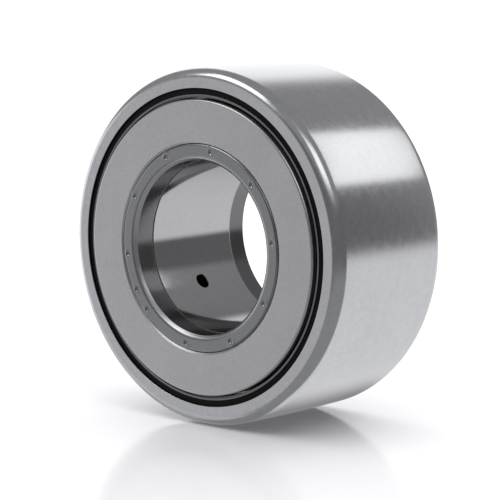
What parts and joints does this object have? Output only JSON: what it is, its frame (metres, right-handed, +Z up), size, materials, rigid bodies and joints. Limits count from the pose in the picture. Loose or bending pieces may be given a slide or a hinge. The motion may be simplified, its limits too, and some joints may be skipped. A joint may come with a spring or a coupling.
{
  "type": "yoke type track roller",
  "caption": "Sealed yoke-type track roller (cam follower without stud): thick crowned outer ring on caged needle rollers round a bored inner ring.",
  "frame": {"origin": "centre of the bore at mid-width", "axes": "+Y along the roller's axis from the front face to the rear face, +Z up, +X to the right seen from the front"},
  "size_m": [0.062, 0.029, 0.062],
  "materials": {
    "tread_steel": "ground and polished, satin end faces",
    "inner_ring_steel": "fine ground, slightly dark",
    "washer_steel": "smooth satin",
    "seal_rubber": "matte black",
    "seal_ring_steel": "satin",
    "cage_steel": "pressed steel, oiled",
    "needle_steel": "polished"
  },
  "bodies": {
    "inner_assembly": {"inner_ring": "inner_ring_steel", "front_side_washer": "washer_steel", "rear_side_washer": "washer_steel"},
    "outer_ring": {"outer_ring": "tread_steel", "front_seal": "seal_rubber", "rear_seal": "seal_rubber", "front_seal_ring": "seal_ring_steel", "rear_seal_ring": "seal_ring_steel"},
    "cage": {"needle_cage": "cage_steel"},
    "needle_01": {"needle_roller_01": "needle_steel"},
    "needle_02": {"needle_roller_02": "needle_steel"},
    "needle_03": {"needle_roller_03": "needle_steel"},
    "needle_04": {"needle_roller_04": "needle_steel"},
    "needle_05": {"needle_roller_05": "needle_steel"},
    "needle_06": {"needle_roller_06": "needle_steel"},
    "needle_07": {"needle_roller_07": "needle_steel"},
    "needle_08": {"needle_roller_08": "needle_steel"},
    "needle_09": {"needle_roller_09": "needle_steel"},
    "needle_10": {"needle_roller_10": "needle_steel"},
    "needle_11": {"needle_roller_11": "needle_steel"},
    "needle_12": {"needle_roller_12": "needle_steel"},
    "needle_13": {"needle_roller_13": "needle_steel"},
    "needle_14": {"needle_roller_14": "needle_steel"},
    "needle_15": {"needle_roller_15": "needle_steel"},
    "needle_16": {"needle_roller_16": "needle_steel"},
    "needle_17": {"needle_roller_17": "needle_steel"},
    "needle_18": {"needle_roller_18": "needle_steel"},
    "needle_19": {"needle_roller_19": "needle_steel"},
    "needle_20": {"needle_roller_20": "needle_steel"},
    "needle_21": {"needle_roller_21": "needle_steel"},
    "needle_22": {"needle_roller_22": "needle_steel"},
    "needle_23": {"needle_roller_23": "needle_steel"},
    "needle_24": {"needle_roller_24": "needle_steel"}
  },
  "joints": [
    {"name": "outer_ring_spin", "type": "hinge", "parent": "inner_assembly", "child": "outer_ring", "pos_m": [0, 0, 0], "axis": [0, 1, 0], "continuous": true},
    {"name": "cage_orbit", "type": "hinge", "parent": "inner_assembly", "child": "cage", "pos_m": [0, 0, 0], "axis": [0, 1, 0], "continuous": true},
    {"name": "needle_spin_01", "type": "hinge", "parent": "cage", "child": "needle_01", "pos_m": [0.02105, 0, 0], "axis": [0, 1, 0], "continuous": true},
    {"name": "needle_spin_02", "type": "hinge", "parent": "cage", "child": "needle_02", "pos_m": [0.02033, 0, 0.00545], "axis": [0, 1, 0], "continuous": true},
    {"name": "needle_spin_03", "type": "hinge", "parent": "cage", "child": "needle_03", "pos_m": [0.01823, 0, 0.01052], "axis": [0, 1, 0], "continuous": true},
    {"name": "needle_spin_04", "type": "hinge", "parent": "cage", "child": "needle_04", "pos_m": [0.01488, 0, 0.01488], "axis": [0, 1, 0], "continuous": true},
    {"name": "needle_spin_05", "type": "hinge", "parent": "cage", "child": "needle_05", "pos_m": [0.01052, 0, 0.01823], "axis": [0, 1, 0], "continuous": true},
    {"name": "needle_spin_06", "type": "hinge", "parent": "cage", "child": "needle_06", "pos_m": [0.00545, 0, 0.02033], "axis": [0, 1, 0], "continuous": true},
    {"name": "needle_spin_07", "type": "hinge", "parent": "cage", "child": "needle_07", "pos_m": [0, 0, 0.02105], "axis": [0, 1, 0], "continuous": true},
    {"name": "needle_spin_08", "type": "hinge", "parent": "cage", "child": "needle_08", "pos_m": [-0.00545, 0, 0.02033], "axis": [0, 1, 0], "continuous": true},
    {"name": "needle_spin_09", "type": "hinge", "parent": "cage", "child": "needle_09", "pos_m": [-0.01052, 0, 0.01823], "axis": [0, 1, 0], "continuous": true},
    {"name": "needle_spin_10", "type": "hinge", "parent": "cage", "child": "needle_10", "pos_m": [-0.01488, 0, 0.01488], "axis": [0, 1, 0], "continuous": true},
    {"name": "needle_spin_11", "type": "hinge", "parent": "cage", "child": "needle_11", "pos_m": [-0.01823, 0, 0.01052], "axis": [0, 1, 0], "continuous": true},
    {"name": "needle_spin_12", "type": "hinge", "parent": "cage", "child": "needle_12", "pos_m": [-0.02033, 0, 0.00545], "axis": [0, 1, 0], "continuous": true},
    {"name": "needle_spin_13", "type": "hinge", "parent": "cage", "child": "needle_13", "pos_m": [-0.02105, 0, 0], "axis": [0, 1, 0], "continuous": true},
    {"name": "needle_spin_14", "type": "hinge", "parent": "cage", "child": "needle_14", "pos_m": [-0.02033, 0, -0.00545], "axis": [0, 1, 0], "continuous": true},
    {"name": "needle_spin_15", "type": "hinge", "parent": "cage", "child": "needle_15", "pos_m": [-0.01823, 0, -0.01052], "axis": [0, 1, 0], "continuous": true},
    {"name": "needle_spin_16", "type": "hinge", "parent": "cage", "child": "needle_16", "pos_m": [-0.01488, 0, -0.01488], "axis": [0, 1, 0], "continuous": true},
    {"name": "needle_spin_17", "type": "hinge", "parent": "cage", "child": "needle_17", "pos_m": [-0.01052, 0, -0.01823], "axis": [0, 1, 0], "continuous": true},
    {"name": "needle_spin_18", "type": "hinge", "parent": "cage", "child": "needle_18", "pos_m": [-0.00545, 0, -0.02033], "axis": [0, 1, 0], "continuous": true},
    {"name": "needle_spin_19", "type": "hinge", "parent": "cage", "child": "needle_19", "pos_m": [0, 0, -0.02105], "axis": [0, 1, 0], "continuous": true},
    {"name": "needle_spin_20", "type": "hinge", "parent": "cage", "child": "needle_20", "pos_m": [0.00545, 0, -0.02033], "axis": [0, 1, 0], "continuous": true},
    {"name": "needle_spin_21", "type": "hinge", "parent": "cage", "child": "needle_21", "pos_m": [0.01052, 0, -0.01823], "axis": [0, 1, 0], "continuous": true},
    {"name": "needle_spin_22", "type": "hinge", "parent": "cage", "child": "needle_22", "pos_m": [0.01488, 0, -0.01488], "axis": [0, 1, 0], "continuous": true},
    {"name": "needle_spin_23", "type": "hinge", "parent": "cage", "child": "needle_23", "pos_m": [0.01823, 0, -0.01052], "axis": [0, 1, 0], "continuous": true},
    {"name": "needle_spin_24", "type": "hinge", "parent": "cage", "child": "needle_24", "pos_m": [0.02033, 0, -0.00545], "axis": [0, 1, 0], "continuous": true}
  ],
  "couplings": [
    {"joint": "cage_orbit", "follows": "outer_ring_spin", "ratio": 0.54762},
    {"joint": "needle_spin_01", "follows": "outer_ring_spin", "ratio": 5.2024},
    {"joint": "needle_spin_02", "follows": "outer_ring_spin", "ratio": 5.2024},
    {"joint": "needle_spin_03", "follows": "outer_ring_spin", "ratio": 5.2024},
    {"joint": "needle_spin_04", "follows": "outer_ring_spin", "ratio": 5.2024},
    {"joint": "needle_spin_05", "follows": "outer_ring_spin", "ratio": 5.2024},
    {"joint": "needle_spin_06", "follows": "outer_ring_spin", "ratio": 5.2024},
    {"joint": "needle_spin_07", "follows": "outer_ring_spin", "ratio": 5.2024},
    {"joint": "needle_spin_08", "follows": "outer_ring_spin", "ratio": 5.2024},
    {"joint": "needle_spin_09", "follows": "outer_ring_spin", "ratio": 5.2024},
    {"joint": "needle_spin_10", "follows": "outer_ring_spin", "ratio": 5.2024},
    {"joint": "needle_spin_11", "follows": "outer_ring_spin", "ratio": 5.2024},
    {"joint": "needle_spin_12", "follows": "outer_ring_spin", "ratio": 5.2024},
    {"joint": "needle_spin_13", "follows": "outer_ring_spin", "ratio": 5.2024},
    {"joint": "needle_spin_14", "follows": "outer_ring_spin", "ratio": 5.2024},
    {"joint": "needle_spin_15", "follows": "outer_ring_spin", "ratio": 5.2024},
    {"joint": "needle_spin_16", "follows": "outer_ring_spin", "ratio": 5.2024},
    {"joint": "needle_spin_17", "follows": "outer_ring_spin", "ratio": 5.2024},
    {"joint": "needle_spin_18", "follows": "outer_ring_spin", "ratio": 5.2024},
    {"joint": "needle_spin_19", "follows": "outer_ring_spin", "ratio": 5.2024},
    {"joint": "needle_spin_20", "follows": "outer_ring_spin", "ratio": 5.2024},
    {"joint": "needle_spin_21", "follows": "outer_ring_spin", "ratio": 5.2024},
    {"joint": "needle_spin_22", "follows": "outer_ring_spin", "ratio": 5.2024},
    {"joint": "needle_spin_23", "follows": "outer_ring_spin", "ratio": 5.2024},
    {"joint": "needle_spin_24", "follows": "outer_ring_spin", "ratio": 5.2024}
  ]
}
